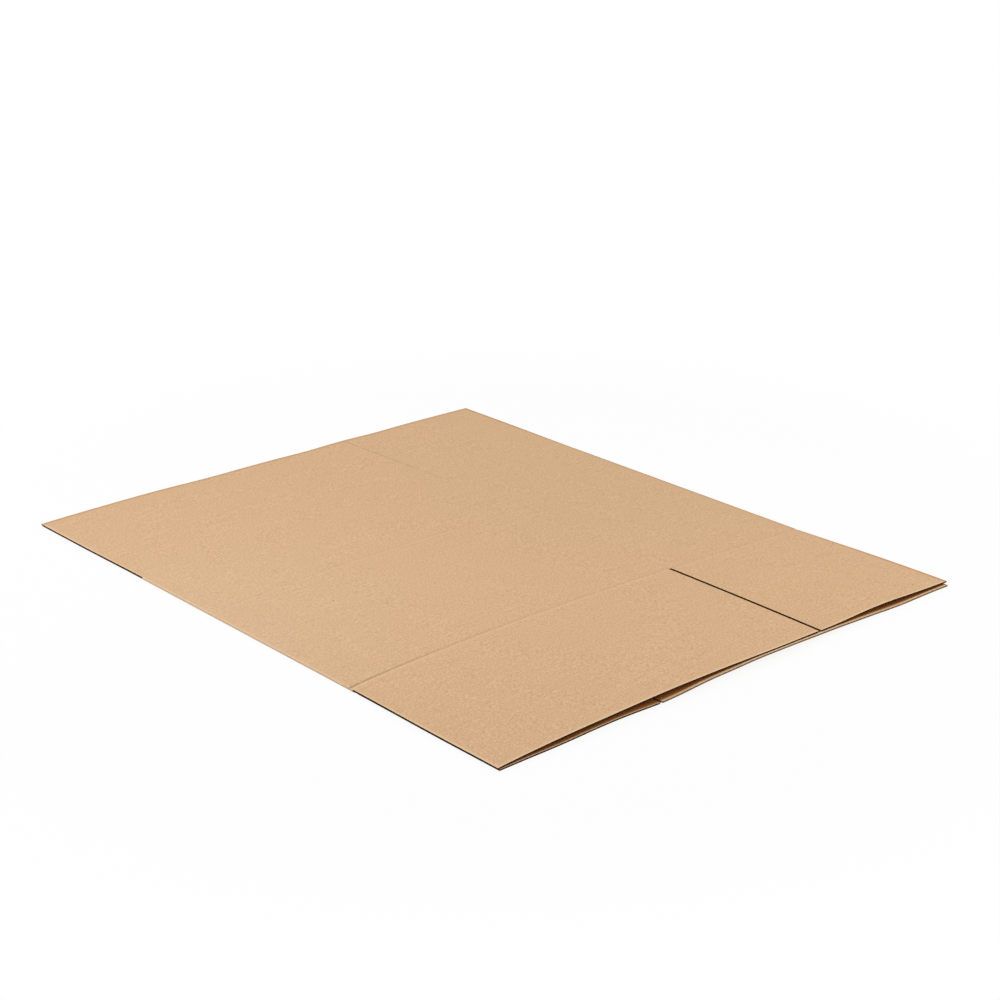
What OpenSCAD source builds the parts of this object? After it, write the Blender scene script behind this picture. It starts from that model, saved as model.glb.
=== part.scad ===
// Flattened shipping box of single-wall corrugated board.
// One sheet: four wall panels with flaps at both ends, glued into a tube at a lap
// and folded flat at two opposite corners, so that it lies in two layers.
// X runs across the panels, Y along the flutes, Z up from the floor.

/* [Box] */
// Width of each wide panel, score to score
wide_panel = 550; // [420:5:700]
// Width of each narrow panel, score to score
narrow_panel = 260; // [200:5:340]
// Height of the walls, from flap score to flap score
wall_height = 470; // [380:5:600]
// Length of every flap, from its score to its cut edge
flap_length = 265; // [160:5:320]
// Height of the extra score above the near flap score
low_score_height = 307; // [120:1:340]

/* [Board] */
// Thickness of the board
board = 2; // [1.6:0.1:3]
// Thickness of each flat facing
facing = 0.3; // [0.2:0.05:0.4]
// Thickness of the wavy layer between the facings
wave_sheet = 0.25; // [0.15:0.05:0.35]
// Distance from one flute to the next
flute_pitch = 5; // [4:0.1:7]
// Depth of the open flute ends at a cut edge
flute_depth = 7; // [4:0.5:10]
// Depth of the flute that lies open along a cut side edge
side_flute_depth = 1.6; // [0.8:0.1:2.5]

/* [Slots, scores and lap] */
// Width of the slots between the flaps
slot = 4.5; // [3:0.5:8]
// Width of the groove pressed along a flap score
score_width = 5; // [3:0.5:8]
// Depth of the groove pressed along a flap score
score_depth = 0.4; // [0.2:0.1:0.7]
// Width of the double line pressed along the extra score
low_score_width = 9; // [6:0.5:12]
// Depth of the double line pressed along the extra score
low_score_depth = 0.2; // [0.1:0.1:0.5]
// Width of the glued lap
lap = 35; // [25:1:50]
// Length cut off each end of the lap at its free edge
lap_bevel = 10; // [4:1:20]
// Thickness of the glue under the lap
glue = 0.2; // [0.1:0.05:0.4]

/* [Lie of the sheet] */
// How far the lower layer reaches out past the upper one at the near end
layer_shift = 2.5; // [0:0.5:6]
// Clear gap inside a closed fold
fold_gap = 0.3; // [0.2:0.1:1]
// Bow of the upper layer at the near cut edge
bow_near_edge = 6; // [0:0.5:12]
// Bow of the upper layer at the near flap score
bow_near_score = 10.5; // [0:0.5:16]
// Bow of the upper layer at the extra score
bow_low_score = 10; // [0:0.5:16]
// Bow of the upper layer at the far flap score
bow_far_score = 7; // [0:0.5:16]
// Bow of the upper layer at the far cut edge
bow_far_edge = 1.5; // [0:0.5:8]
// Lift of the upper near flap at its free corner
corner_lift = 3; // [0:0.5:8]
// Drop of the far upper narrow flap at its corner beside the slot
flap_drop = 2; // [0:0.5:3]
// Clear gap where the lower wide panel bows up to the upper layer, at the near flaps
touch_gap = 0.4; // [0.2:0.1:2]
// Clear gap over the lower wide panel's bow at the far flaps
far_gap = 3; // [0.5:0.5:5]

/* [Hidden] */
// The bow of the upper layer leans towards the left fold
bow_lean_share = 0.75;
// Room over the lap, as a share of the board's thickness
lap_room_share = 1.15;
// Reach of the lower panel's bow and the place of its crest
rise_share = 0.82;
crest_share = 0.55;
// Half widths of a flute end at its facing and at its root, as shares of the pitch
flute_mouth_share = 0.37;
flute_root_share = 0.12;
// Share of the lap that the glue covers
glue_share = 0.8;
// Share of the space between the facings that a flute along a side edge takes up
side_flute_share = 0.8;
// Number of steps in a fold, a wide panel, a narrow panel, a flap and a wall
fold_steps = 6;
wide_steps = 12;
narrow_steps = 6;
flap_steps = 3;
wall_steps = 3;
// How far a cut runs past the face that it opens
overrun = 1;

across = wide_panel + narrow_panel;
along = wall_height + 2 * flap_length;
near_score = flap_length;
far_score = flap_length + wall_height;
low_score = near_score + low_score_height;
fold_x = (board + fold_gap) / 2;
half_slot = slot / 2;
lap_end = narrow_panel - lap;

// Shapes that the lie of the sheet is built from
function smooth_share(t) = let (c = min(max(t, 0), 1)) c * c * (3 - 2 * c);
function hump_share(t) = let (c = min(max(t, 0), 1)) (1 - cos(360 * c)) / 2;
function arch_share(x) =
    let (t = min(max((x - fold_x) / (across - 2 * fold_x), 0), 1))
    sin(180 * pow(t, bow_lean_share));
function rise_at(x) = (x - narrow_panel) / (rise_share * wide_panel);

// Bow of the upper layer along the flutes: straight between the scores
function bow(y) = lookup(y, [
    [0, bow_near_edge],
    [near_score, bow_near_score],
    [low_score, bow_low_score],
    [far_score, bow_far_score],
    [along, bow_far_edge]
]);

// The far upper narrow flap hangs from its score and drops beside the slot
function drop(x, y) =
    x <= wide_panel ? 0
    : flap_drop * (across - x) / narrow_panel * max(0, (y - far_score) / flap_length);

// Inner face of the upper layer
function upper_z(x, y) =
    board + fold_gap
    + (lap_room_share * (board + glue) + bow(y)) * arch_share(x)
    + corner_lift * x / across * max(0, (near_score - y) / near_score)
    - drop(x, y);

// Outer face of the lower wide panel and of the lap, which lies on the narrow panel
function clear_gap(y) = lookup(y, [[near_score, touch_gap], [far_score, far_gap]]);
function crest_z(y) =
    upper_z(narrow_panel + crest_share * rise_share * wide_panel, y) - clear_gap(y) - board;
function lap_z(t) = (board + glue) * (1 - smooth_share(t));
function lower_z(x, y) =
    let (t = rise_at(x))
    max(0, lap_z(t) + (crest_z(y) - lap_z(crest_share)) * hump_share(t));

// Stations across the sheet, from the lapped edge round both folds to the lap's free edge.
// Each one holds its layer, its place, its score depth and whether the flaps are cut away after it.
LOWER_NARROW = 0;
LEFT_FOLD = 1;
UPPER = 2;
RIGHT_FOLD = 3;
LOWER_WIDE = 4;

function spread(layer, from, to, steps) =
    [for (i = [0:steps]) [layer, from + (to - from) * i / steps, 0, i == steps]];

stations = concat(
    spread(LOWER_NARROW, narrow_panel, half_slot, narrow_steps),
    [for (i = [0:fold_steps]) [LEFT_FOLD, 180 * i / fold_steps, 0, true]],
    spread(UPPER, half_slot, wide_panel - half_slot, wide_steps),
    [[UPPER, wide_panel, low_score_depth, true]],
    spread(UPPER, wide_panel + half_slot, across - half_slot, narrow_steps),
    [for (i = [0:fold_steps]) [RIGHT_FOLD, 180 * i / fold_steps, 0, true]],
    spread(LOWER_WIDE, across - half_slot, narrow_panel + half_slot, wide_steps),
    [[LOWER_WIDE, narrow_panel, 0, true], [LOWER_WIDE, lap_end, 0, true]]
);

// Rows along the sheet, each with its place and its score depth
function rows_between(from, to, steps) = [for (i = [1:steps - 1]) [from + (to - from) * i / steps, 0]];
function flap_score(y) = [[y - score_width / 2, 0], [y, score_depth], [y + score_width / 2, 0]];
double_line = low_score_width / 4;

rows = concat(
    [[0, 0]],
    rows_between(0, near_score, flap_steps),
    flap_score(near_score),
    rows_between(near_score, low_score, wall_steps),
    [
        [low_score - 2 * double_line, 0],
        [low_score - double_line, low_score_depth],
        [low_score, 0],
        [low_score + double_line, low_score_depth],
        [low_score + 2 * double_line, 0]
    ],
    rows_between(low_score, far_score, wall_steps),
    flap_score(far_score),
    rows_between(far_score, along, flap_steps),
    [[along, 0]]
);

// Share of the layer shift at a station: none above, all of it below, and growing round the folds
function shift_share(station) =
    station[0] == UPPER ? 0
    : station[0] == LEFT_FOLD ? 1 - station[1] / 180
    : station[0] == RIGHT_FOLD ? station[1] / 180
    : 1;

// Rows draw together on the lap, so that its two ends are cut on a slant
function row_y(station, row) =
    let (slant = station[0] == LOWER_WIDE ? max(0, (narrow_panel - station[1]) / lap) : 0)
    let (middle = along / 2 - layer_shift * shift_share(station))
    middle + (row[0] - along / 2) * (1 - slant * 2 * lap_bevel / wall_height);

// Point of the sheet at a depth from its outer face
function fold_point(angle, radius, y, mirrored) =
    let (x = fold_x - radius * sin(angle))
    [mirrored ? across - x : x, y, board + fold_gap / 2 - radius * cos(angle)];
function sheet_point(station, row, depth) =
    let (y = row_y(station, row))
    let (layer = station[0])
    let (x = station[1])
    layer == LOWER_NARROW ? [x, y, depth]
    : layer == LEFT_FOLD ? fold_point(x, board + fold_gap / 2 - depth, y, false)
    : layer == UPPER ? [x, y, upper_z(x, y) + board - depth]
    : layer == RIGHT_FOLD ? fold_point(180 - x, board + fold_gap / 2 - depth, y, true)
    : [x, y, lower_z(x, y) + depth];

columns = len(stations);
lines = len(rows);
function point_index(i, j, inner) = 2 * (i * lines + j) + inner;

// A cell of the sheet is there unless a slot or the lap's trimmed ends take it away
function in_flap(j) = rows[j][0] < near_score || rows[j + 1][0] > far_score;
function has_cell(i, j) =
    i >= 0 && j >= 0 && i < columns - 1 && j < lines - 1 && !(stations[i][3] && in_flap(j));

function quad(a, b, c, d) = [[a, b, c], [a, c, d]];
function cell_faces(i, j) = concat(
    quad(point_index(i, j, 0), point_index(i, j + 1, 0),
         point_index(i + 1, j + 1, 0), point_index(i + 1, j, 0)),
    quad(point_index(i, j, 1), point_index(i + 1, j, 1),
         point_index(i + 1, j + 1, 1), point_index(i, j + 1, 1)),
    has_cell(i - 1, j) ? [] :
        quad(point_index(i, j, 0), point_index(i, j, 1),
             point_index(i, j + 1, 1), point_index(i, j + 1, 0)),
    has_cell(i + 1, j) ? [] :
        quad(point_index(i + 1, j, 0), point_index(i + 1, j + 1, 0),
             point_index(i + 1, j + 1, 1), point_index(i + 1, j, 1)),
    has_cell(i, j - 1) ? [] :
        quad(point_index(i, j, 0), point_index(i + 1, j, 0),
             point_index(i + 1, j, 1), point_index(i, j, 1)),
    has_cell(i, j + 1) ? [] :
        quad(point_index(i, j + 1, 0), point_index(i, j + 1, 1),
             point_index(i + 1, j + 1, 1), point_index(i + 1, j + 1, 0))
);

module sheet() {
    polyhedron(
        points = [for (s = stations) for (r = rows) for (face = [0, 1])
            sheet_point(s, r, face == 1 ? board : s[2] + r[1])],
        faces = [for (i = [0:columns - 2]) for (j = [0:lines - 2])
            if (has_cell(i, j)) each cell_faces(i, j)],
        convexity = 8
    );
}

// Height of the board's middle on a flap's cut edge
function edge_z(layer, x, y) =
    layer == LOWER_NARROW ? board / 2
    : layer == UPPER ? upper_z(x, y) + board / 2
    : lower_z(x, y) + board / 2;

// One flute end: wide where it meets a facing, narrow at the wavy layer's bend
module flute_end(layer, x, y, side) {
    mouth_z = board / 2 - facing;
    root_z = wave_sheet - mouth_z;
    profile = [
        [-flute_mouth_share, mouth_z],
        [-flute_root_share, root_z],
        [flute_root_share, root_z],
        [flute_mouth_share, mouth_z]
    ];
    polygon([for (p = profile)
        let (px = x + p[0] * flute_pitch)
        [px, edge_z(layer, px, y) + side * p[1]]]);
}

module flute_row(layer, from, to, y) {
    count = floor((to - from) / (flute_pitch / 2)) - 1;
    first = (from + to) / 2 - (count - 1) * flute_pitch / 4;
    for (k = [0:count - 1]) {
        flute_end(layer, first + k * flute_pitch / 2, y, k % 2 == 0 ? 1 : -1);
    }
}

// Flaps as they lie across the sheet: layer, first place and last place
flaps = [
    [LOWER_NARROW, half_slot, narrow_panel],
    [UPPER, half_slot, wide_panel - half_slot],
    [UPPER, wide_panel + half_slot, across - half_slot],
    [LOWER_WIDE, narrow_panel + half_slot, across - half_slot]
];
function flap_shift(flap) = flap[0] == UPPER ? 0 : -layer_shift;

// Flutes that a flap's cut edge opens, from start on
module flute_ends(y, start) {
    for (flap = flaps) {
        translate([0, start + flap_shift(flap) + flute_depth + overrun, 0])
            rotate([90, 0, 0])
                linear_extrude(flute_depth + overrun)
                    flute_row(flap[0], flap[1], flap[2], y + flap_shift(flap));
    }
}

// Flute that lies open along a flap's side edge, between the flap's cut edge and its score
module side_flute(flap, x, side, from, to) {
    half_height = side_flute_share * (board / 2 - facing);
    places = [for (i = [0:flap_steps]) from + (to - from) * i / flap_steps + flap_shift(flap)];
    low = [for (y = places) [y, edge_z(flap[0], x, y) - half_height]];
    high = [for (i = [flap_steps:-1:0]) [places[i], edge_z(flap[0], x, places[i]) + half_height]];
    translate([x + side * (overrun - side_flute_depth) / 2, 0, 0])
        rotate([90, 0, 90])
            linear_extrude(side_flute_depth + overrun, center = true)
                polygon(concat(low, high));
}

module side_flutes(from, to) {
    for (flap = flaps) {
        side_flute(flap, flap[1], -1, from, to);
        side_flute(flap, flap[2], 1, from, to);
    }
}

// Glue that bonds the lap to the narrow panel under it
module lap_glue() {
    bond = [glue_share * lap, glue_share * wall_height, glue + 2 * facing];
    translate([narrow_panel - lap / 2, along / 2 - layer_shift, board + glue / 2])
        cube(bond, center = true);
}

module folded_sheet() {
    color("burlywood")
        translate([-across / 2, (layer_shift - along) / 2, 0])
            difference() {
                union() {
                    sheet();
                    lap_glue();
                }
                flute_ends(0, -overrun);
                flute_ends(along, along - flute_depth);
                side_flutes(flute_depth + facing, near_score - score_width);
                side_flutes(far_score + score_width, along - flute_depth - facing);
            }
}

folded_sheet();
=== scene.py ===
"""Flattened shipping box of single-wall corrugated board, lying in two layers on a pale floor."""
import math

import bmesh
import bpy
import numpy as np
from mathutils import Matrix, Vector


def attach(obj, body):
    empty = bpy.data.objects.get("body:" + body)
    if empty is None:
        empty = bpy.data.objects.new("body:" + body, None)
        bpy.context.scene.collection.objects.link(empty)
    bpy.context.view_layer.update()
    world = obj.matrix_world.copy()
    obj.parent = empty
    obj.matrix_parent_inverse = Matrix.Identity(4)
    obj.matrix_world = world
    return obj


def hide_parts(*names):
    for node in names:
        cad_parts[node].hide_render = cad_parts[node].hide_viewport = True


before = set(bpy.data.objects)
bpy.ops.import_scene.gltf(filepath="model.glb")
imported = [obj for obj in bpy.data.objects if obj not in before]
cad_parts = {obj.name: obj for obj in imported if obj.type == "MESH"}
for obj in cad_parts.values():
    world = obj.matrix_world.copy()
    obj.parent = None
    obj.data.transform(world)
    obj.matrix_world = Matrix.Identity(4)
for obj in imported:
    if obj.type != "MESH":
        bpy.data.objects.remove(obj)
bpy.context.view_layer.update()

MM = 0.001

# Box: panels from score to score, walls from flap score to flap score
WIDE_PANEL = 550 * MM
NARROW_PANEL = 260 * MM
WALL_HEIGHT = 470 * MM
FLAP_LENGTH = 265 * MM
LOW_SCORE_HEIGHT = 294.5 * MM

# Board: two facings with a wavy sheet between them
BOARD = 2 * MM
FACING = 0.3 * MM
WAVE_SHEET = 0.25 * MM
FLUTE_PITCH = 5 * MM
FLUTE_DEPTH = 14 * MM

# Slots, lap and the flutes that lie open along the cut side edges
SLOT = 4.5 * MM
SLOT_OVERCUT = 3.5 * MM
SLOT_PINCH = 0.93
SLOT_PINCH_LEAST = 0.2
SLOT_PINCH_RUN = 30 * MM
SLOT_PINCH_REACH = 12 * MM
SLOT_LEAN = 1.3 * MM
SLOT_LEAN_RUN = 30 * MM
SLOT_LEAN_REACH = 25 * MM
LAP = 35 * MM
LAP_BEVEL = 10 * MM
GLUE = 0.2 * MM
EDGE_GROOVE = 1.6 * MM
EDGE_GROOVE_RUN_OUT = 2 * MM

# Scores: the near flap's crease, which dies away across the sheet, and fainter lines elsewhere
CREASE_DEPTH = 0.9 * MM
CREASE_FAINT_DEPTH = 0.45 * MM
CREASE_FADE = 300 * MM
CREASE_WALL_SIDE = 1.8 * MM
CREASE_FLAP_SIDE = 6 * MM
CREASE_LEAD = 9.8 * MM
CREASE_FAINT_LEAD = 3.6 * MM
CREASE_LEAD_FADE = 300 * MM
FAR_CREASE_DEPTH = 0.12 * MM
RIDGE_HEIGHT = 0.25 * MM
RIDGE_HALF_GAP = 5 * MM
RIDGE_HALF_WIDTH = 1.8 * MM
CORNER_SCORE_DEPTH = 0.1 * MM

# Painted light and shade on the sheet: above 0 is darker, painted shade; below 0 is paler, painted light
# Painted shade along the near crease, and a painted highlight beside it on the flap
CREASE_DARK_ENDS = (1.0, 0.1)
CREASE_DARK_HALF_WIDTH = 1.2 * MM
CREASE_DARK_FADE = 130 * MM
CREASE_PALE_ENDS = (0.6, 0.0)
CREASE_PALE_OFFSET = 5.5 * MM
CREASE_PALE_HALF_WIDTH = 2 * MM
CREASE_PALE_FADE = 600 * MM
# Painted highlights on the extra score's ridges and painted shade behind them
RIDGE_STRENGTHS = (0.5, 1.0)
RIDGE_DARK = 0.09
RIDGE_DARK_BEHIND = 4.7 * MM
RIDGE_PALE = 0.34
RIDGE_FAINT_FROM = 400 * MM
RIDGE_FAINT_RUN = 250 * MM
RIDGE_FAINT_SHARE = 0.7
# Painted shade low on the folds, where they turn under
FOLD_DARK = 6.65
# Painted light: the lower wide panel's cut edges are painted paler than the same cut elsewhere
LOWER_CUT_SHADE = -1.0
LOWER_SIDE_SHADE = -0.6

# Lie of the sheet
LAYER_SHIFT = 2.5 * MM
NARROW_SHIFT = 0.2 * MM
WIDE_SHIFT = 2.3 * MM
NARROW_RECESS = 2.2 * MM
FOLD_FLATNESS = 0.45
FOLD_OUTSET = 0.05 * MM
FOLD_INSET = 1.6 * MM
FOLD_INSET_REACH = 40 * MM
FOLD_INSET_RUN = 170 * MM
FOLD_GAP = 0.3 * MM
BOW_NEAR_EDGE = 6 * MM
BOW_NEAR_SCORE = 10.5 * MM
BOW_LOW_SCORE = 10 * MM
BOW_FAR_SCORE = 7 * MM
BOW_FAR_EDGE = 0.9 * MM
CORNER_LIFT = 3.6 * MM
NARROW_FLAP_BOW = 2.5 * MM
LAP_EASE = 0.5
FLAP_DROP = 1.75 * MM
TOUCH_GAP = 0.4 * MM
FAR_GAP = 3 * MM
BOW_LEAN = 0.75
ARCH_FOOT = 1.15 * MM
LAP_ROOM = 1.15
RISE_SHARE = 0.82
CREST_SHARE = 0.55

# Slight waves of the flaps at their cut edges: place across, half width and height of each, in mm
NEAR_WAVES = (
    (110, 60, 0.5),
    (270, 80, 0.8),
    (440, 60, -0.9),
    (500, 50, -1.1),
    (580, 45, -1.2),
    (735, 40, -0.5),
)
FAR_WAVES = ((290, 70, -1.9), (390, 70, -1.4), (480, 55, -1.9), (610, 55, -1.3))
LOWER_NARROW_WAVES = ((45, 40, 0.5), (185, 75, 2.9))
LOWER_WIDE_WAVES = ((345, 50, 2.3), (425, 40, 1.0), (582, 35, 0.7), (650, 60, 2.1), (770, 55, 1.2))

# Fineness of the surfaces
FLUTE_STEPS = 8
FLUTES_A_COLUMN = 2
COLUMN_STEP = FLUTES_A_COLUMN * FLUTE_PITCH
FOLD_STEPS = 12
ROW_STEP = 22 * MM
CREASE_ROWS = np.concatenate([[-20, -12, -8, -6, -4.5, -3, -2], np.linspace(-1, 13, 21), [15, 18]]) * MM
FAR_CREASE_ROWS = np.array([-6, -3, -2, -1, 0, 1, 2, 3, 5, 8, 12]) * MM
LOW_SCORE_REACH = 14 * MM
LOW_SCORE_ROWS = 25
SMOOTH_ANGLE = math.radians(40)
LEAST_WALL = 0.02 * MM
WELD_DISTANCE = 0.001 * MM

ACROSS = WIDE_PANEL + NARROW_PANEL
ALONG = WALL_HEIGHT + 2 * FLAP_LENGTH
NEAR_SCORE = FLAP_LENGTH
FAR_SCORE = FLAP_LENGTH + WALL_HEIGHT
LOW_SCORE = NEAR_SCORE + LOW_SCORE_HEIGHT
RIDGES = (LOW_SCORE - RIDGE_HALF_GAP, LOW_SCORE + RIDGE_HALF_GAP)
FOLD_X = SLOT / 2 - FOLD_OUTSET
FOLD_RADIUS = BOARD + FOLD_GAP / 2
HALF_SLOT = SLOT / 2

LOWER_NARROW, LEFT_FOLD, UPPER, RIGHT_FOLD, LOWER_WIDE = range(5)


# Shape of the layers


def smooth_step(t):
    """Rises from 0 to 1 as 3 t squared less 2 t cubed."""
    c = np.clip(t, 0, 1)
    return c * c * (3 - 2 * c)


def hump(t):
    """One full wave from 0 up to 1 and back: half of 1 less the cosine of a turn."""
    return (1 - np.cos(2 * np.pi * np.clip(t, 0, 1))) / 2


def arch(x):
    """Half a sine from fold to fold, of the share across raised to a power that leans it to the left."""
    t = np.clip((x - ARCH_FOOT) / (ACROSS - 2 * ARCH_FOOT), 0, 1)
    return np.sin(np.pi * t**BOW_LEAN)


def bow(y):
    """Height of the upper layer's arch: straight lines between its values at the edges and scores."""
    places = [0, NEAR_SCORE, LOW_SCORE, FAR_SCORE, ALONG]
    heights = [BOW_NEAR_EDGE, BOW_NEAR_SCORE, BOW_LOW_SCORE, BOW_FAR_SCORE, BOW_FAR_EDGE]
    return np.interp(y, places, heights)


def bell(distance, half_width):
    """Bell curve: e to the minus square of the distance over its half width."""
    return np.exp(-((distance / half_width) ** 2))


def waves(x, places):
    """Sum of bell curves across the sheet, each with its place, half width and height in mm."""
    return MM * sum(height * bell(x / MM - place, half_width) for place, half_width, height in places)


def onto_near_flap(y):
    """Share of the way from the near score, 0, to the near cut edge, 1."""
    return np.clip((NEAR_SCORE - y) / FLAP_LENGTH, 0, None)


def onto_far_flap(y):
    """Share of the way from the far score, 0, to the far cut edge, 1."""
    return np.clip((y - FAR_SCORE) / FLAP_LENGTH, 0, None)


def flap_drop(x, y):
    """Drop of the far upper narrow flap: one full wave along it, most beside the slot."""
    return np.where(x > WIDE_PANEL, FLAP_DROP * (ACROSS - x) / NARROW_PANEL * hump(onto_far_flap(y)), 0)


def upper_inner(x, y):
    """Inner face of the upper layer: the closed fold's height, the arch, the near flaps' lifted corner
    as a quarter sine, the flaps' waves, and the far narrow flap's drop."""
    room = LAP_ROOM * (BOARD + GLUE)
    lift = CORNER_LIFT * x / ACROSS * np.sin(np.pi / 2 * onto_near_flap(y))
    near = waves(x, NEAR_WAVES) + NARROW_FLAP_BOW * hump((x - WIDE_PANEL) / NARROW_PANEL)
    lift = lift + near * onto_near_flap(y) + waves(x, FAR_WAVES) * onto_far_flap(y)
    return BOARD + FOLD_GAP + (room + bow(y)) * arch(x) + lift - flap_drop(x, y)


def lower_narrow_outer(x, y):
    """Outer face of the lower narrow panel: flat on the floor, its near flap curled a little off it."""
    return waves(x, LOWER_NARROW_WAVES) * onto_near_flap(y)


def lower_wide_outer(x, y):
    """Outer face of the lower wide panel: it comes down off the lap and humps up under the upper layer,
    with slight waves at the near cut edge and less height where the far flap has no lap under it."""
    reach = RISE_SHARE * WIDE_PANEL
    t = (x - NARROW_PANEL) / reach
    lap_height = (BOARD + GLUE) * (1 - smooth_step(t)) * (1 - LAP_EASE * onto_far_flap(y))
    lap_at_crest = (BOARD + GLUE) * (1 - smooth_step(CREST_SHARE))
    gap = np.interp(y, [NEAR_SCORE, FAR_SCORE], [TOUCH_GAP, FAR_GAP])
    crest = upper_inner(NARROW_PANEL + CREST_SHARE * reach, y) - gap - BOARD
    lift = waves(x, LOWER_WIDE_WAVES) * onto_near_flap(y)
    return np.maximum(lap_height + (crest - lap_at_crest) * hump(t) + lift, 0)


def upper_share(layer, place):
    """1 on the upper layer, 0 on the lower one, and even with the angle round the folds."""
    round_fold = place / np.pi
    choices = [np.ones_like(round_fold), round_fold, 1 - round_fold]
    return np.select([layer == UPPER, layer == LEFT_FOLD, layer == RIGHT_FOLD], choices, 0.0)


def drawn_in(x, y):
    """How far the folds are drawn in, dying away by smooth steps across the panels and on the flaps."""
    along = smooth_step(1 + (y - NEAR_SCORE) / FOLD_INSET_RUN)
    along = along * smooth_step(1 + (FAR_SCORE - y) / FOLD_INSET_RUN)
    across = smooth_step(1 - x / FOLD_INSET_REACH) - smooth_step(1 - (ACROSS - x) / FOLD_INSET_REACH)
    return FOLD_INSET * along * across


def slot_pinch(x, y):
    """How far the far upper slot's sides close up: a share of the way to its middle, less by one full
    wave along the flap, dying away as a bell curve across the flaps and by a smooth step on the wall."""
    share = SLOT_PINCH - (SLOT_PINCH - SLOT_PINCH_LEAST) * hump(onto_far_flap(y))
    share = share * smooth_step(1 + (y - FAR_SCORE) / SLOT_PINCH_RUN)
    middle = WIDE_PANEL - x
    return middle * share * bell(middle, SLOT_PINCH_REACH)


def slot_lean(x, y):
    """Shift of the near upper slot to the left: even along the flap, dying away as a bell curve across
    the flaps and by a smooth step on the wall."""
    along = smooth_step(1 + (NEAR_SCORE - y) / SLOT_LEAN_RUN)
    return -SLOT_LEAN * along * bell(x - WIDE_PANEL, SLOT_LEAN_REACH)


def sheet_point(layer, place, y, depth):
    """Point of the folded sheet, from the floor's frame, at a depth below the sheet's outer face.

    On a panel, place is x and the point stands on the panel's own face. On a fold, place is the angle
    round it and the point lies on half an ellipse, its radius less the depth. The left fold leans in
    by a cosine to the lower layer's recess. The lower layer reaches out at the near end, and the lap's
    rows draw together towards its free edge.
    """
    layer, place, y, depth = np.broadcast_arrays(layer, place, y, depth)
    angle = np.where(layer == RIGHT_FOLD, np.pi - place, place)
    fold_x = FOLD_X - FOLD_FLATNESS * (FOLD_RADIUS - depth) * np.sin(angle)
    fold_x = fold_x + np.where(layer == LEFT_FOLD, NARROW_RECESS * (1 + np.cos(angle)) / 2, 0)
    on_lap = np.where(layer == LOWER_WIDE, np.clip((NARROW_PANEL - place) / LAP, 0, 1), 0)
    shift = np.where(layer <= LEFT_FOLD, NARROW_SHIFT, WIDE_SHIFT)
    middle = ALONG / 2 - shift * (1 - upper_share(layer, place))
    y = middle + (y - ALONG / 2) * (1 - on_lap * 2 * LAP_BEVEL / WALL_HEIGHT)
    x = np.select([layer == LEFT_FOLD, layer == RIGHT_FOLD], [fold_x, ACROSS - fold_x], place)
    heights = [
        lower_narrow_outer(x, y) + depth,
        upper_inner(x, y) + BOARD - depth,
        lower_wide_outer(x, y) + depth,
    ]
    on_panel = [layer == LOWER_NARROW, layer == UPPER, layer == LOWER_WIDE]
    z = np.select(on_panel, heights, FOLD_RADIUS - (FOLD_RADIUS - depth) * np.cos(angle))
    x = x + drawn_in(x, y) + np.where(layer == UPPER, slot_pinch(x, y) + slot_lean(x, y), 0)
    return np.stack([x - ACROSS / 2, y + (LAYER_SHIFT - ALONG) / 2, z], axis=-1)


# Columns across the sheet and rows along it


def columns(layer, start, end, step):
    """Evenly spread columns of one layer, about one step apart, as pairs of layer and place."""
    place = np.linspace(start, end, round(abs(end - start) / step) + 1)
    return np.stack([np.full_like(place, layer), place], axis=1)


FLAP_RUNS = [
    columns(LOWER_NARROW, NARROW_PANEL, HALF_SLOT + NARROW_RECESS, COLUMN_STEP),
    columns(UPPER, HALF_SLOT, WIDE_PANEL - HALF_SLOT, COLUMN_STEP),
    columns(UPPER, WIDE_PANEL + HALF_SLOT, ACROSS - HALF_SLOT, COLUMN_STEP),
    columns(LOWER_WIDE, ACROSS - HALF_SLOT, NARROW_PANEL + HALF_SLOT, COLUMN_STEP),
]
JOINING_RUNS = [
    columns(LEFT_FOLD, 0, np.pi, np.pi / FOLD_STEPS),
    columns(UPPER, WIDE_PANEL, WIDE_PANEL, COLUMN_STEP),
    columns(RIGHT_FOLD, 0, np.pi, np.pi / FOLD_STEPS),
    columns(LOWER_WIDE, NARROW_PANEL, NARROW_PANEL - LAP, COLUMN_STEP),
]
STRIP = np.concatenate([run for pair in zip(FLAP_RUNS, JOINING_RUNS) for run in pair])


def rows_between(start, end):
    """Rows between two places, about one row step apart, without the two ends."""
    return np.linspace(start, end, round((end - start) / ROW_STEP) + 1)[1:-1]


NEAR_ROWS = NEAR_SCORE + CREASE_ROWS
FAR_ROWS = FAR_SCORE + FAR_CREASE_ROWS
LOW_ROWS = LOW_SCORE + np.linspace(-LOW_SCORE_REACH, LOW_SCORE_REACH, LOW_SCORE_ROWS)
ROWS = np.concatenate(
    [
        [0, EDGE_GROOVE_RUN_OUT],
        rows_between(EDGE_GROOVE_RUN_OUT, NEAR_ROWS[0]),
        NEAR_ROWS,
        rows_between(NEAR_ROWS[-1], LOW_ROWS[0]),
        LOW_ROWS,
        rows_between(LOW_ROWS[-1], FAR_ROWS[0]),
        FAR_ROWS,
        rows_between(FAR_ROWS[-1], ALONG - EDGE_GROOVE_RUN_OUT),
        [ALONG - EDGE_GROOVE_RUN_OUT, ALONG],
    ]
)
NEAR_ROW = int(np.argmin(np.abs(ROWS - NEAR_SCORE - SLOT_OVERCUT)))
FAR_ROW = int(np.argmin(np.abs(ROWS - FAR_SCORE)))
LAST_ROW = len(ROWS) - 1


def dying(x, start, end, fade):
    """Goes from its start to its end across the sheet, as e to the minus distance over the fade."""
    return end + (start - end) * np.exp(-x / fade)


def crease(onto_flap):
    """Section of a flap score: a short bell on the wall's side and a longer one on the flap's side."""
    return bell(onto_flap, np.where(onto_flap > 0, CREASE_FLAP_SIDE, CREASE_WALL_SIDE))


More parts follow.
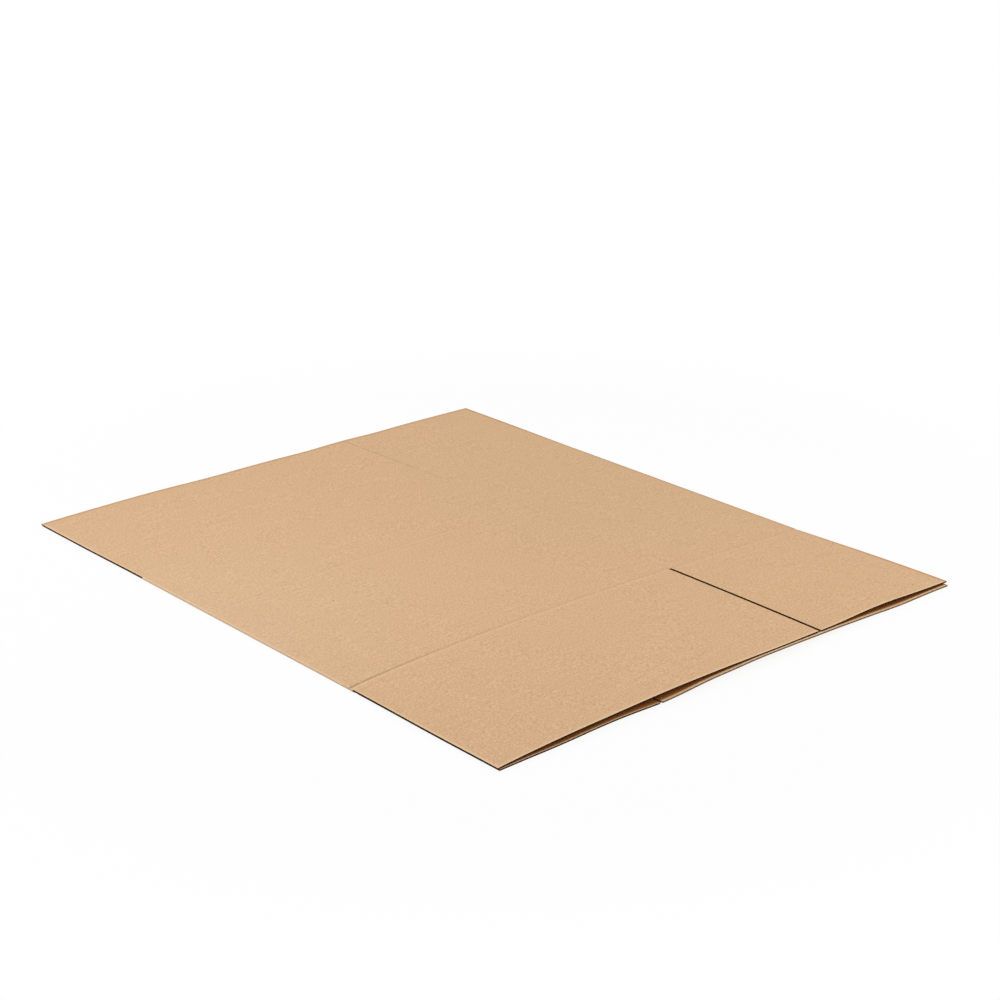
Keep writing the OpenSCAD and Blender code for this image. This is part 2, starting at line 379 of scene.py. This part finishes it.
def from_left(layer, place):
    """Distance from the left fold, over the upper layer and the right fold."""
    return np.select([layer == UPPER, layer == RIGHT_FOLD], [place, np.full_like(place, ACROSS)], 0)


def near_crease_line(layer, place):
    """Place of the near crease: behind the slots' ends, most at the left fold."""
    lead = dying(from_left(layer, place), CREASE_LEAD, CREASE_FAINT_LEAD, CREASE_LEAD_FADE)
    return NEAR_SCORE + upper_share(layer, place) * lead


def pressed_depth(layer, place, y):
    """How far the outer face is pressed in.

    The near crease is deepest at the left fold and dies away across the sheet. The far one is shallow,
    the extra score is two low ridges, and a faint line runs down the upper corner score.
    """
    above = upper_share(layer, place)
    depth = dying(from_left(layer, place), CREASE_DEPTH, CREASE_FAINT_DEPTH, CREASE_FADE)
    depth = CREASE_FAINT_DEPTH + above * (depth - CREASE_FAINT_DEPTH)
    near = depth * crease(near_crease_line(layer, place) - y)
    far = FAR_CREASE_DEPTH * crease(y - FAR_SCORE)
    ridges = sum(bell(y - ridge, RIDGE_HALF_WIDTH) for ridge in RIDGES)
    corner = np.where(layer == UPPER, CORNER_SCORE_DEPTH * bell(place - WIDE_PANEL, HALF_SLOT), 0)
    return near + far - RIDGE_HEIGHT * above * ridges + corner


def ridge_shade(x, y):
    """Painted light and shade of the extra score: a pale bell, a painted highlight, on each of its two
    ridges and a dark one, painted shade, behind it, weaker at the nearer ridge, and both fading by a
    smooth step to the right."""
    shade = 0
    for ridge, strength in zip(RIDGES, RIDGE_STRENGTHS):
        dark = RIDGE_DARK * bell(y - ridge - RIDGE_DARK_BEHIND, RIDGE_HALF_WIDTH)
        shade = shade + strength * (dark - RIDGE_PALE * bell(y - ridge, RIDGE_HALF_WIDTH))
    return shade * (1 - RIDGE_FAINT_SHARE * smooth_step((x - RIDGE_FAINT_FROM) / RIDGE_FAINT_RUN))


def painted_light_and_shade(layer, place, y):
    """Painted light and shade of the near crease, the extra score and the folds.

    The crease is painted dark along its line, painted shade dying away from the left fold, less a paler
    line beside it on the flap, a painted highlight. A fold is painted dark low down, painted shade: its
    upper share times the cube of the rest.
    """
    behind = y - near_crease_line(layer, place)
    x = from_left(layer, place)
    dark = dying(x, *CREASE_DARK_ENDS, CREASE_DARK_FADE) * bell(behind, CREASE_DARK_HALF_WIDTH)
    pale = dying(x, *CREASE_PALE_ENDS, CREASE_PALE_FADE)
    pale = pale * bell(behind + CREASE_PALE_OFFSET, CREASE_PALE_HALF_WIDTH)
    above = upper_share(layer, place)
    return above * (dark - pale + ridge_shade(x, y)) + FOLD_DARK * above * (1 - above) ** 3


# Surfaces of the sheet


class Sheet:
    """Grids of points and the faces between them, each face with the number of its finish."""

    FACE, INNER, CUT = 0, 1, 2

    def __init__(self):
        self.points = []
        self.shades = []
        self.faces = []
        self.finishes = []
        self.count = 0

    def grid(self, points, shade=0.0):
        """Takes a grid of points with their painted light and shade; gives back the grid of their
        numbers.
        """
        rows, width = points.shape[:2]
        self.points.append(points.reshape(-1, 3))
        self.shades.append(np.broadcast_to(shade, (rows, width)).reshape(-1))
        numbers = self.count + np.arange(rows * width).reshape(rows, width)
        self.count += rows * width
        return numbers

    def polygons(self, corners, finish):
        """Takes faces as rows of point numbers."""
        self.faces.extend(corners.tolist())
        self.finishes.extend([finish] * len(corners))

    def cover(self, numbers, finish, there=None):
        """Covers a grid with quads, only where there is true."""
        here, beside = numbers[:-1], numbers[1:]
        quads = np.stack([here[:, :-1], beside[:, :-1], beside[:, 1:], here[:, 1:]], axis=-1)
        there = np.ones(quads.shape[:2], bool) if there is None else there
        self.polygons(quads[there], finish)

    def mesh(self, name):
        """Welds the grids where they meet and turns every face outwards."""
        mesh = bpy.data.meshes.new(name)
        mesh.from_pydata(np.concatenate(self.points), [], self.faces)
        mesh.polygons.foreach_set("material_index", np.array(self.finishes, np.int32))
        shade = mesh.attributes.new("painted_light_and_shade", "FLOAT", "POINT")
        shade.data.foreach_set("value", np.concatenate(self.shades).astype(np.float32))
        weld = bmesh.new()
        weld.from_mesh(mesh)
        bmesh.ops.remove_doubles(weld, verts=weld.verts, dist=WELD_DISTANCE)
        loose = [v for v in weld.verts if not v.link_faces]
        bmesh.ops.delete(weld, geom=loose, context="VERTS")
        bmesh.ops.recalc_face_normals(weld, faces=weld.faces)
        weld.to_mesh(mesh)
        weld.free()
        mesh.polygons.foreach_set("use_smooth", np.ones(len(mesh.polygons), bool))
        mesh.set_sharp_from_angle(angle=SMOOTH_ANGLE)
        return mesh


def flute_edge(layer, place, edge, inward):
    """Edge cut across the flutes, a profile carried along the cut.

    Down the profile the edge goes over the outer facing, in under it, back out along the top of the
    wavy sheet, over that, in and out again under it, and over the inner facing. The wavy sheet's
    middle is a sine over the flute pitch, and its height is its thickness over the cosine of its slope.
    """
    place = np.asarray(place)
    turn = 2 * np.pi * np.arange(len(place)) / FLUTE_STEPS
    swing = BOARD / 2 - FACING - WAVE_SHEET / 2
    slope = swing * 2 * np.pi / FLUTE_PITCH * np.cos(turn)
    half_sheet = WAVE_SHEET / 2 * np.sqrt(1 + slope**2)
    middle = BOARD / 2 + swing * np.sin(turn)
    top = np.maximum(middle - half_sheet, FACING + LEAST_WALL)
    under = np.minimum(middle + half_sheet, BOARD - FACING - LEAST_WALL)
    depth_in = np.full(len(place), FLUTE_DEPTH)
    for end in (0, -1):
        top[end] = FACING
        under[end] = BOARD - FACING
        depth_in[end] = 0
    outer, inner = np.zeros(len(place)), np.full(len(place), BOARD)
    facing_over, facing_under = outer + FACING, inner - FACING
    profile = [outer, facing_over, facing_over, top, top, under, under, facing_under, facing_under, inner]
    depth = np.stack(profile, axis=1)
    out_in = np.array([0, 0, 1, 1, 0, 0, 1, 1, 0, 0])
    y = edge + inward * depth_in[:, None] * out_in
    return sheet_point(layer, place[:, None], y, depth)


def plain_edge(layer, place, y, inset):
    """Edge cut along the flutes or across a slot's end, a profile carried along the cut.

    Down the profile the edge goes over the outer facing, in by the inset along the open flute, back
    out and over the inner facing.
    """
    pressed = pressed_depth(layer, place, y)
    inner = np.full_like(pressed, BOARD)
    facing_over, facing_under = pressed + FACING, inner - FACING
    profile = [pressed, facing_over, facing_over, facing_under, facing_under, inner]
    depth = np.stack(profile, axis=1)
    open_flute = np.array([0, 0, 1, 1, 0, 0])
    return sheet_point(layer[:, None], place[:, None] + inset[:, None] * open_flute, y[:, None], depth)


def add_panels(sheet):
    """Outer and inner face of the whole strip, leaving out the slots and the rows next to cut flutes."""
    layer, place = STRIP[:, 0, None], STRIP[:, 1, None]
    outer = sheet_point(layer, place, ROWS, pressed_depth(layer, place, ROWS))
    # The outer face carries painted shade and highlights along the crease, the extra score and the folds
    outer = sheet.grid(outer, painted_light_and_shade(layer, place, ROWS))
    inner = sheet.grid(sheet_point(layer, place, ROWS, BOARD))
    there = np.zeros((len(STRIP) - 1, LAST_ROW), bool)
    there[:, NEAR_ROW:FAR_ROW] = True
    first = 0
    for flap, joining in zip(FLAP_RUNS, JOINING_RUNS):
        there[first : first + len(flap) - 1, 1:-1] = True
        first += len(flap) + len(joining)
    sheet.cover(outer, Sheet.FACE, there)
    sheet.cover(inner, Sheet.INNER, there)
    return outer, inner


def add_flap_ends(sheet, outer, inner):
    """Cut edges of the flaps across the flutes, and the row of each face that runs up to them."""
    steps = FLUTES_A_COLUMN * FLUTE_STEPS
    first = 0
    for flap, joining in zip(FLAP_RUNS, JOINING_RUNS):
        cells = len(flap) - 1
        place = np.linspace(flap[0, 1], flap[-1, 1], cells * steps + 1)
        fan = np.arange(cells)[:, None] * steps + np.arange(steps + 1)
        for edge, inward, row in ((0, 1, 1), (ALONG, -1, LAST_ROW - 1)):
            # Painted light: the lower wide panel's cut ends are painted paler
            shade = LOWER_CUT_SHADE if flap[0, 0] == LOWER_WIDE else 0.0
            ribbon = sheet.grid(flute_edge(flap[0, 0], place, edge, inward), shade)
            sheet.cover(ribbon, Sheet.CUT)
            for face, side, finish in ((outer, 0, Sheet.FACE), (inner, -1, Sheet.INNER)):
                line = face[first : first + cells + 1, row]
                corners = np.concatenate([ribbon[:, side][fan], line[1:, None], line[:-1, None]], axis=1)
                sheet.polygons(corners, finish)
        first += len(flap) + len(joining)


def add_long_edge(sheet, column, into, start, end, groove):
    """Cut edge along the flutes between two rows, with its open flute run out at both ends."""
    y = ROWS[start : end + 1]
    run_out = np.minimum(y - y[0], y[-1] - y) / EDGE_GROOVE_RUN_OUT
    inset = into * groove * np.clip(run_out, 0, 1)
    layer, place = np.full_like(y, column[0]), np.full_like(y, column[1])
    # Painted light: the lower wide panel's cut sides are painted paler
    shade = LOWER_SIDE_SHADE if column[0] == LOWER_WIDE else 0.0
    sheet.cover(sheet.grid(plain_edge(layer, place, y, inset), shade), Sheet.CUT)


def add_slot_end(sheet, strip, row):
    """Cut edge across the end of a slot, a fold or the lap."""
    y = np.full(len(strip), ROWS[row])
    sheet.cover(sheet.grid(plain_edge(strip[:, 0], strip[:, 1], y, 0 * y)), Sheet.CUT)


def add_cut_edges(sheet):
    """Every edge along the flutes and the ends of the slots, the folds and the lap."""
    first = 0
    for number, (flap, joining) in enumerate(zip(FLAP_RUNS, JOINING_RUNS)):
        into = np.sign(flap[-1, 1] - flap[0, 1])
        last = first + len(flap) - 1
        after = last + len(joining) + 1
        if number == 0:
            add_long_edge(sheet, flap[0], into, 0, LAST_ROW, EDGE_GROOVE)
        for start, end in ((0, NEAR_ROW), (FAR_ROW, LAST_ROW)):
            if number > 0:
                add_long_edge(sheet, flap[0], into, start, end, EDGE_GROOVE)
            add_long_edge(sheet, flap[-1], -into, start, end, EDGE_GROOVE)
        for row in (NEAR_ROW, FAR_ROW):
            add_slot_end(sheet, STRIP[last : after + 1], row)
        first = after
    add_long_edge(sheet, STRIP[-1], 1, NEAR_ROW, FAR_ROW, 0)


def folded_sheet():
    """The whole sheet as one closed surface."""
    sheet = Sheet()
    outer, inner = add_panels(sheet)
    add_flap_ends(sheet, outer, inner)
    add_cut_edges(sheet)
    return bpy.data.objects.new("folded_board", sheet.mesh("folded_board"))


# Finishes


class Nodes:
    """Adds nodes to a node tree and links them."""

    def __init__(self, tree):
        self.tree = tree

    def add(self, kind, values=None, **settings):
        """A new node with its settings; values maps a socket to a number or to another socket."""
        node = self.tree.nodes.new(kind)
        for key, value in settings.items():
            setattr(node, key, value)
        for key, value in (values or {}).items():
            self.set(node.inputs[key], value)
        return node

    def set(self, socket, value):
        """Sets a socket to a number, or links another socket to it."""
        if isinstance(value, bpy.types.NodeSocket):
            self.tree.links.new(value, socket)
        else:
            socket.default_value = value

    def noise(self, vector, scale, detail, roughness=0.5):
        """Noise from 0 to 1 at a scale per metre."""
        values = {"Vector": vector, "Scale": scale, "Detail": detail, "Roughness": roughness}
        return self.add("ShaderNodeTexNoise", values).outputs["Fac"]

    def stretched(self, vector, scale):
        """The vector times a scale along each axis."""
        return self.add("ShaderNodeMapping", {"Vector": vector, "Scale": scale}).outputs["Vector"]

    def ramp(self, value, low, high, to_low=0.0, to_high=1.0):
        """Maps low..high to to_low..to_high, clamped."""
        values = {"Value": value, "From Min": low, "From Max": high, "To Min": to_low, "To Max": to_high}
        return self.add("ShaderNodeMapRange", values).outputs["Result"]

    def math(self, operation, a, b):
        """One operation on two values."""
        return self.add("ShaderNodeMath", {0: a, 1: b}, operation=operation).outputs[0]

    def mix(self, factor, a, b):
        """Mixes two colours."""
        node = self.add("ShaderNodeMix", data_type="RGBA")
        for key, value in (("Factor_Float", factor), ("A_Color", a), ("B_Color", b)):
            socket = next(s for s in node.inputs if s.identifier == key)
            self.set(socket, value)
        return next(s for s in node.outputs if s.identifier == "Result_Color")


def srgb(red, green, blue):
    """Linear colour from screen values of 0 to 255."""
    share = np.array([red, green, blue]) / 255
    linear = np.where(share <= 0.04045, share / 12.92, ((share + 0.055) / 1.055) ** 2.4)
    return (*linear.tolist(), 1.0)


# Colours
KRAFT_DARK = srgb(203, 164, 122)
KRAFT_LIGHT = srgb(230, 192, 153)
# Inner facing: a deeper, more saturated brown than the outer one, painted shade for the gap between the
# layers
INNER_DARK = srgb(178, 118, 60)
INNER_LIGHT = srgb(204, 144, 84)
# Colour of the painted shade in the crease, behind the ridges and low on the folds
PAINTED_SHADE_BROWN = srgb(150, 113, 76)
SPECK_DARK = srgb(108, 80, 54)
RUBBED = srgb(186, 124, 70)
CUT_EDGE = srgb(94, 61, 31)
CUT_EDGE_DARK = srgb(54, 32, 14)
# Paler cut edge colour, painted light on the lower wide panel's cut edges
CUT_EDGE_PALE = srgb(168, 130, 90)

# Paper: scales and stretches per metre, ranges of the noise that count, and shares mixed in
GRAIN_SCALE = 420.0
FIBRE_STRETCH = (260.0, 900.0, 600.0)
STREAK_STRETCH = (20.0, 300.0, 300.0)
CLOUD_SCALE = 20.0
CUT_STREAK_STRETCH = (1400.0, 1400.0, 300.0)
NOISE_RANGE = (0.3, 0.7)
FIBRE_RANGE = (0.5, 0.8)
FIBRE_ROUGHNESS = 0.6
FIBRE_SHARE = 0.4
STREAK_SHARE = 0.22
CLOUD_SHARE = 0.06
SPECK_SCALE = 45.0
SPECK_RADIUS = (0.03, 0.05)
SPECK_PICK = (0.985, 0.987)
SPECK_SHARE = 0.9
DARK_SHADE_SHARE = 0.75
PAPER_GLOSS = 0.25
PAPER_ROUGHNESS = (0.8, 0.9)
PAPER_BUMP = {"Strength": 0.2, "Distance": 0.12 * MM}
CUT_GLOSS = 0.1
CUT_ROUGHNESS = 0.95
CUT_BUMP = {"Strength": 0.4, "Distance": 0.2 * MM}

# Colour, share and width of the pale rims (crushed on the outer facing, painted light on the inner one),
# and the rubbed rims' width and shares
CRUSHED_RIM = (srgb(246, 216, 182), 0.6, 5 * MM)
# On the inner facing the pale rim is painted light on the lower layer's near strip
INNER_PAINTED_LIGHT_RIM = (srgb(255, 228, 186), 1.0, 2.5 * MM)
RUBBED_RIM = 6 * MM
RUBBED_FAR_SHARE = 0.6
RUBBED_RIGHT_SHARE = 0.95

# Colour, most share and the X places where the wall's painted light (left) and painted shade (right) are
# full and none
PAINTED_LIGHT_LEFT = (srgb(235, 205, 175), 0.19, -0.39, 0.01)
PAINTED_SHADE_RIGHT = (srgb(148, 146, 118), 0.05, 0.2, -0.1)
# Y places where the painted light and shade start, are full, begin to fall and are none again
PAINTED_LIGHT_AND_SHADE_ALONG = (-0.37, -0.03, 0.13, 0.55)


def plain_material(name):
    """A new material with its nodes and its main shader."""
    material = bpy.data.materials.new(name)
    material.use_nodes = True
    return material, Nodes(material.node_tree), material.node_tree.nodes["Principled BSDF"]


def kraft_face(name, dark, light, crushed_and_lit_rim):
    """Uncoated kraft facing: tan, with fine grain, short fibres, faint streaks, painted light over the
    left of the wall and painted shade over its right, and a few darker specks, paler along the near and
    left edges (crushed on the outer facing, painted light on the inner one) and rubbed darker along the
    other two, with the sheet's painted shade and highlights along the crease, ridges and folds."""
    material, n, shader = plain_material(name)
    place = n.add("ShaderNodeTexCoord").outputs["Object"]
    grain = n.noise(place, GRAIN_SCALE, 1.0)
    fibres = n.noise(n.stretched(place, FIBRE_STRETCH), 1.0, 2.0, FIBRE_ROUGHNESS)
    streaks = n.noise(n.stretched(place, STREAK_STRETCH), 1.0, 1.0)
    clouds = n.noise(place, CLOUD_SCALE, 2.0)
    colour = n.mix(n.ramp(grain, *NOISE_RANGE), dark, light)
    colour = n.mix(n.ramp(fibres, *FIBRE_RANGE, 0.0, FIBRE_SHARE), colour, light)
    colour = n.mix(n.ramp(streaks, *NOISE_RANGE, 0.0, STREAK_SHARE), colour, dark)
    colour = n.mix(n.ramp(clouds, *NOISE_RANGE, 0.0, CLOUD_SHARE), colour, dark)
    axes = n.add("ShaderNodeSeparateXYZ", {"Vector": place})
    x, y = axes.outputs["X"], axes.outputs["Y"]
    # Painted light over the left of the wall and painted shade over its right
    start, full, fall, end = PAINTED_LIGHT_AND_SHADE_ALONG
    along = n.math("MULTIPLY", n.ramp(y, start, full), n.ramp(y, fall, end, 1.0, 0.0))
    for tone, most, full_at, none_at in (PAINTED_LIGHT_LEFT, PAINTED_SHADE_RIGHT):
        across = n.ramp(x, none_at, full_at, 0.0, most)
        colour = n.mix(n.math("MULTIPLY", across, along), colour, tone)
    cell_values = {"Vector": place, "Scale": SPECK_SCALE}
    cells = n.add("ShaderNodeTexVoronoi", cell_values, voronoi_dimensions="2D")
    spot = n.ramp(cells.outputs["Distance"], *SPECK_RADIUS, SPECK_SHARE, 0.0)
    pick = n.add("ShaderNodeSeparateColor", {"Color": cells.outputs["Color"]}).outputs[0]
    rare = n.ramp(pick, *SPECK_PICK)
    colour = n.mix(n.math("MULTIPLY", spot, rare), colour, SPECK_DARK)
    # Pale rim along the near and left edges: crushed on the outer facing, painted light on the inner one
    crushed_and_lit, share, rim = crushed_and_lit_rim
    side = ACROSS / 2 - HALF_SLOT
    left = n.ramp(x, -side, rim - side, share, 0.0)
    near_end = (LAYER_SHIFT - ALONG) / 2
    near = n.ramp(y, near_end, near_end + rim, share, 0.0)
    right = n.ramp(x, side - RUBBED_RIM, side, 0.0, RUBBED_RIGHT_SHARE)
    far = n.ramp(y, ALONG / 2 - RUBBED_RIM, ALONG / 2, 0.0, RUBBED_FAR_SHARE)
    colour = n.mix(n.math("MAXIMUM", left, near), colour, crushed_and_lit)
    colour = n.mix(n.math("MAXIMUM", right, far), colour, RUBBED)
    # Painted shade from the attribute: darker in the near crease, behind the extra score's ridges and low
    # on the folds; painted highlights, paler, beside the crease and on the ridges
    shade = n.add("ShaderNodeAttribute", attribute_name="painted_light_and_shade").outputs["Fac"]
    colour = n.mix(n.ramp(shade, 0.0, 1.0, 0.0, DARK_SHADE_SHARE), colour, PAINTED_SHADE_BROWN)
    colour = n.mix(n.ramp(shade, 0.0, -1.0), colour, KRAFT_LIGHT)
    n.set(shader.inputs["Base Color"], colour)
    n.set(shader.inputs["Roughness"], n.ramp(fibres, *NOISE_RANGE, *PAPER_ROUGHNESS))
    shader.inputs["Specular IOR Level"].default_value = PAPER_GLOSS
    height = n.math("ADD", n.math("MULTIPLY", fibres, 0.5), n.math("MULTIPLY", grain, 0.5))
    bump = n.add("ShaderNodeBump", {**PAPER_BUMP, "Height": height})
    n.set(shader.inputs["Normal"], bump.outputs["Normal"])
    return material


def cut_edge():
    """Raw cut edge: darker than the facings, with torn fibres in streaks down the cut."""
    material, n, shader = plain_material("cut_edge")
    place = n.add("ShaderNodeTexCoord").outputs["Object"]
    streaks = n.noise(n.stretched(place, CUT_STREAK_STRETCH), 1.0, 2.0, FIBRE_ROUGHNESS)
    colour = n.mix(n.ramp(streaks, *NOISE_RANGE), CUT_EDGE_DARK, CUT_EDGE)
    shade = n.add("ShaderNodeAttribute", attribute_name="painted_light_and_shade").outputs["Fac"]
    # Painted light: below 0 the attribute paints the lower wide panel's cut edges paler
    n.set(shader.inputs["Base Color"], n.mix(n.ramp(shade, 0.0, -1.0), colour, CUT_EDGE_PALE))
    shader.inputs["Roughness"].default_value = CUT_ROUGHNESS
    shader.inputs["Specular IOR Level"].default_value = CUT_GLOSS
    bump = n.add("ShaderNodeBump", {**CUT_BUMP, "Height": streaks})
    n.set(shader.inputs["Normal"], bump.outputs["Normal"])
    return material


# The board
board = folded_sheet()
bpy.context.collection.objects.link(board)
outer_finish = kraft_face("kraft_face", KRAFT_DARK, KRAFT_LIGHT, CRUSHED_RIM)
# The inner facing's deeper browns are painted shade for the gap, and its pale rim is painted light
inner_finish = kraft_face("kraft_inner_face", INNER_DARK, INNER_LIGHT, INNER_PAINTED_LIGHT_RIM)
for finish in (outer_finish, inner_finish, cut_edge()):
    board.data.materials.append(finish)
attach(board, "root")
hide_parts("folded_sheet")


# Stage

FLOOR_HALF = 6.0
FLOOR_WHITE = (0.95, 0.95, 0.95, 1.0)
# The floor's own shading counts for this share near the box and for none past the second distance
SHADOW_SHARE = 0.1
SHADOW_REACH = (0.75, 1.1)
FLOOR_SHOWN_UNDER = 14 * MM
WORLD_STRENGTH = 0.46
WHITE = (1.0, 1.0, 1.0, 1.0)

# Place, size, power and colour of the soft lights
KEY_LIGHT = ((-1.8, 1.6, 2.4), 2.1, 51.0, (0.98, 0.99, 1.0))
FILL_LIGHT = ((1.5, -1.6, 2.3), 2.1, 34.0, (1.0, 0.97, 0.92))

# Camera: place in metres, heading from +Y towards +X and tilt down in degrees
SENSOR_WIDTH = 36.0
LENS = 78.454
CAMERA_PLACE = (-1.84, -2.1375, 1.1532)
CAMERA_HEADING = 41.311
CAMERA_TILT = 20.772


def seen_rays(n):
    """1 for the rays that show a thing to the camera, straight or by reflection, and 0 for the light."""
    path = n.add("ShaderNodeLightPath")
    seen = n.math("MAXIMUM", path.outputs["Is Camera Ray"], path.outputs["Is Glossy Ray"])
    return n.math("MAXIMUM", seen, path.outputs["Is Transmission Ray"])


def floor():
    """A wide white square that keeps the shadow near the box and stays plain under it."""
    corner = np.array([[-1, -1, 0], [1, -1, 0], [1, 1, 0], [-1, 1, 0]]) * FLOOR_HALF
    mesh = bpy.data.meshes.new("floor")
    mesh.from_pydata(corner, [], [[0, 1, 2, 3]])
    material, n, shader = plain_material("pale_floor")
    shader.inputs["Base Color"].default_value = FLOOR_WHITE
    shader.inputs["Roughness"].default_value = 1.0
    shader.inputs["Specular IOR Level"].default_value = 0.0
    place = n.add("ShaderNodeTexCoord").outputs["Object"]
    away = n.add("ShaderNodeVectorMath", {0: place}, operation="LENGTH").outputs["Value"]
    glow_share = n.ramp(away, *SHADOW_REACH, 1.0 - SHADOW_SHARE, 1.0)
    axes = n.add("ShaderNodeSeparateXYZ", {"Vector": place})
    x, y = axes.outputs["X"], axes.outputs["Y"]
    beyond_x = n.math("GREATER_THAN", n.math("ABSOLUTE", x, 0.0), ACROSS / 2 - FLOOR_SHOWN_UNDER)
    beyond_y = n.math("GREATER_THAN", n.math("ABSOLUTE", y, 0.0), ALONG / 2 - FLOOR_SHOWN_UNDER)
    outside = n.math("MAXIMUM", beyond_x, beyond_y)
    from_slot = n.math("ABSOLUTE", n.math("SUBTRACT", x, NARROW_PANEL - ACROSS / 2), 0.0)
    past_slot = n.math("GREATER_THAN", from_slot, 2 * SLOT)
    past_edge = n.math("GREATER_THAN", n.math("ABSOLUTE", y, 0.0), ALONG / 2 - SLOT)
    shown = n.math("MULTIPLY", outside, n.math("MAXIMUM", past_slot, past_edge))
    shown = n.math("MULTIPLY", n.math("MULTIPLY", seen_rays(n), shown), glow_share)
    glow = n.add("ShaderNodeEmission", {"Color": WHITE, "Strength": 1.0})
    mixed = n.add("ShaderNodeMixShader", {0: shown, 1: shader.outputs[0], 2: glow.outputs[0]})
    n.set(material.node_tree.nodes["Material Output"].inputs["Surface"], mixed.outputs[0])
    mesh.materials.append(material)
    return bpy.data.objects.new("floor", mesh)


def white_world():
    """A white surround that shows at full strength and lights the object more softly."""
    world = bpy.data.worlds.new("white_world")
    world.use_nodes = True
    n = Nodes(world.node_tree)
    background = n.tree.nodes["Background"]
    background.inputs["Color"].default_value = WHITE
    n.set(background.inputs["Strength"], n.ramp(seen_rays(n), 0.0, 1.0, WORLD_STRENGTH, 1.0))
    bpy.context.scene.world = world


def softbox(name, place, size, power, colour):
    """A square soft light at a place, turned to the middle of the box."""
    lamp = bpy.data.lights.new(name, "AREA")
    lamp.shape = "SQUARE"
    lamp.size = size
    lamp.energy = power
    lamp.color = colour
    light = bpy.data.objects.new(name, lamp)
    light.location = place
    light.rotation_euler = (-Vector(place)).to_track_quat("-Z", "Y").to_euler()
    bpy.context.collection.objects.link(light)


def camera():
    """Camera at the photograph's place, looking down its own heading and tilt."""
    heading, tilt = math.radians(CAMERA_HEADING), math.radians(CAMERA_TILT)
    level = Vector((math.sin(heading), math.cos(heading), 0))
    ahead = level * math.cos(tilt) - Vector((0, 0, math.sin(tilt)))
    data = bpy.data.cameras.new("camera")
    data.sensor_width = SENSOR_WIDTH
    data.lens = LENS
    eye = bpy.data.objects.new("camera", data)
    eye.location = CAMERA_PLACE
    eye.rotation_euler = ahead.to_track_quat("-Z", "Y").to_euler()
    bpy.context.collection.objects.link(eye)
    bpy.context.scene.camera = eye


ground = floor()
bpy.context.collection.objects.link(ground)
white_world()
softbox("key", *KEY_LIGHT)
softbox("fill", *FILL_LIGHT)
camera()
bpy.context.scene.view_settings.view_transform = "Standard"
